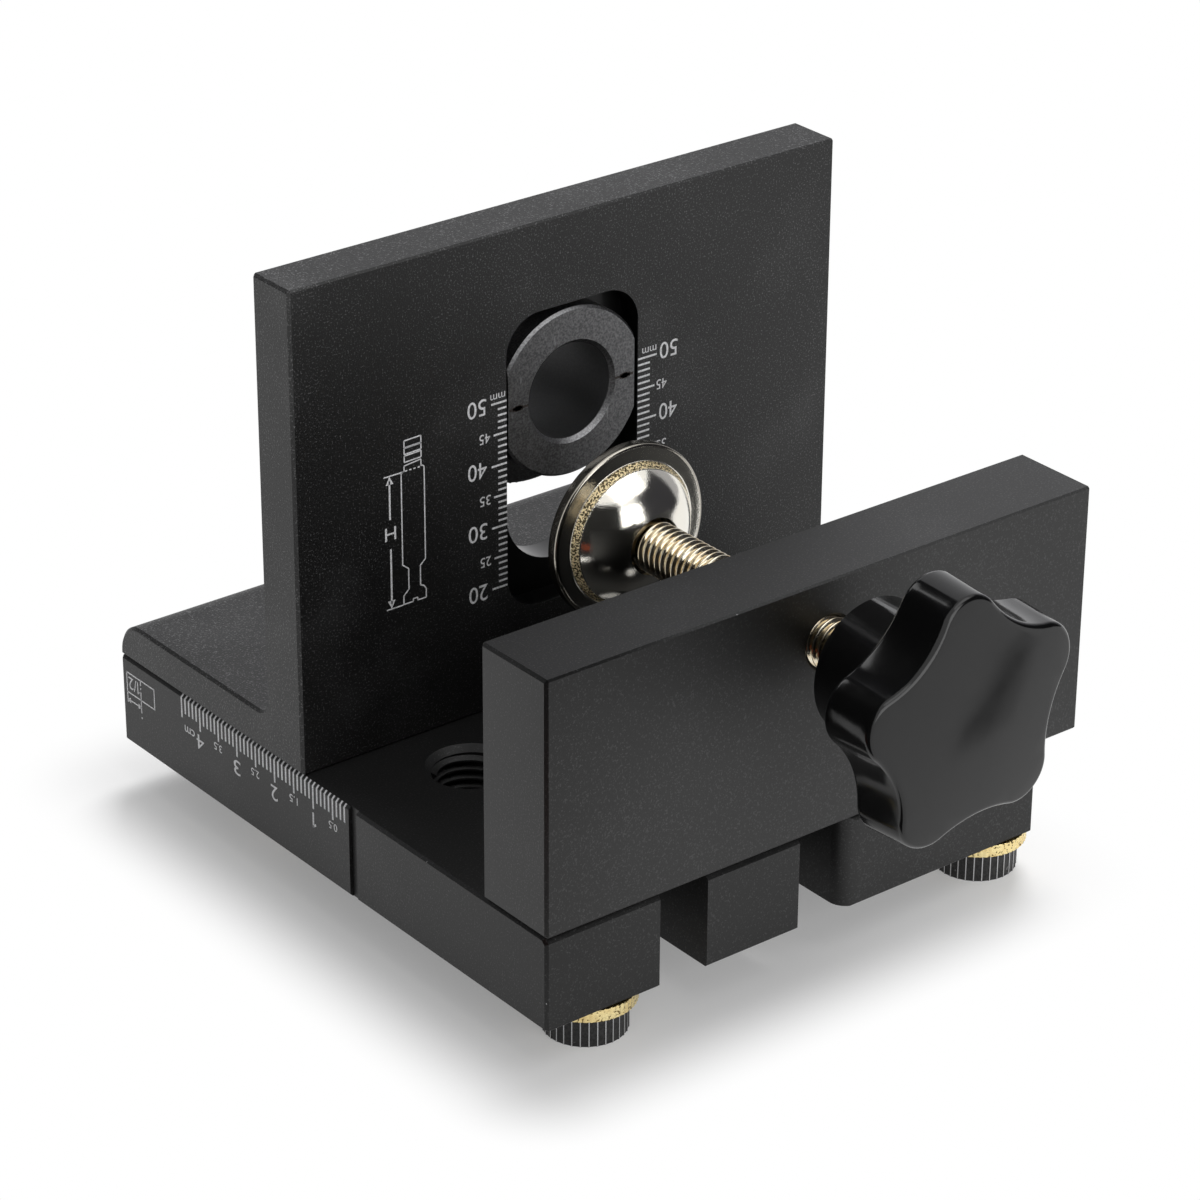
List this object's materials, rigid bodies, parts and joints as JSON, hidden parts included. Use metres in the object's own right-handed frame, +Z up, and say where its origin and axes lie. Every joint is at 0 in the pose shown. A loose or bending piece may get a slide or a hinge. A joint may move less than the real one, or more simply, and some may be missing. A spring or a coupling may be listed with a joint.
{
  "type": "self centering doweling jig",
  "caption": "Bench drilling jig with a sliding L fence, a height-set drill bush, and a knob screw that presses a swivel pad on the board.",
  "frame": {"origin": "axis of the middle guide hole at the lower face of the base, under the zero line of the side scale", "axes": "+X to the right along the jaw, +Y from the knob to the rear flange, +Z up along the guide holes"},
  "size_m": [0.1, 0.1387, 0.0983],
  "materials": {
    "black_anodised": "satin, bead blasted and anodised black",
    "black_steel": "satin, blackened",
    "chromed_steel": "polished, chromed",
    "bright_steel": "zinc plated, passivated",
    "brass": "bright, turned",
    "black_knob": "polished, moulded"
  },
  "bodies": {
    "base": {"base_plate": "black_anodised", "clamp_jaw": "black_anodised", "jaw_screw_left": "black_steel", "jaw_screw_right": "black_steel", "jaw_washer_left": "brass", "jaw_washer_right": "brass"},
    "sliding_fence": {"fence": "black_anodised", "fence_washer_left": "brass", "fence_washer_right": "brass"},
    "left_fence_screw": {"fence_screw_left": "black_steel"},
    "right_fence_screw": {"fence_screw_right": "black_steel"},
    "bush": {"cam_bush": "black_steel"},
    "nut": {"bush_nut": "black_steel"},
    "feed": {"thrust_washer": "bright_steel"},
    "screw": {"spindle": "bright_steel", "knob_insert": "brass", "star_knob": "black_knob"},
    "pad": {"pad_shell": "chromed_steel", "pad_plate": "bright_steel"}
  },
  "joints": [
    {"name": "fence_slide", "type": "slide", "parent": "base", "child": "sliding_fence", "axis": [0, 1, 0], "range_m": [-0.005, 0.023]},
    {"name": "fence_screw_left_turn", "type": "hinge", "parent": "sliding_fence", "child": "left_fence_screw", "pos_m": [-0.036, 0.0305, 0], "axis": [0, 0, 1], "range_deg": [-360, 0]},
    {"name": "fence_screw_right_turn", "type": "hinge", "parent": "sliding_fence", "child": "right_fence_screw", "pos_m": [0.036, 0.0305, 0], "axis": [0, 0, 1], "range_deg": [-360, 0]},
    {"name": "bush_slide", "type": "slide", "parent": "sliding_fence", "child": "bush", "axis": [0, 0, 1], "range_m": [-0.0188, 0.0003]},
    {"name": "nut_turn", "type": "hinge", "parent": "bush", "child": "nut", "pos_m": [0, 0.024, 0.063], "axis": [0, 1, 0], "range_deg": [0, 360]},
    {"name": "clamp_feed", "type": "slide", "parent": "base", "child": "feed", "axis": [0, 1, 0], "range_m": [-0.02375, 0.006]},
    {"name": "spindle_turn", "type": "hinge", "parent": "feed", "child": "screw", "pos_m": [0, 0, 0.0452], "axis": [0, 1, 0], "range_deg": [-6845, 1733]},
    {"name": "pad_tilt", "type": "hinge", "parent": "feed", "child": "pad", "pos_m": [0, 0.00495, 0.0452], "axis": [1, 0, 0], "range_deg": [-2, 2]}
  ],
  "couplings": [
    {"joint": "spindle_turn", "follows": "clamp_feed", "rad_per_m": 5026.5}
  ]
}
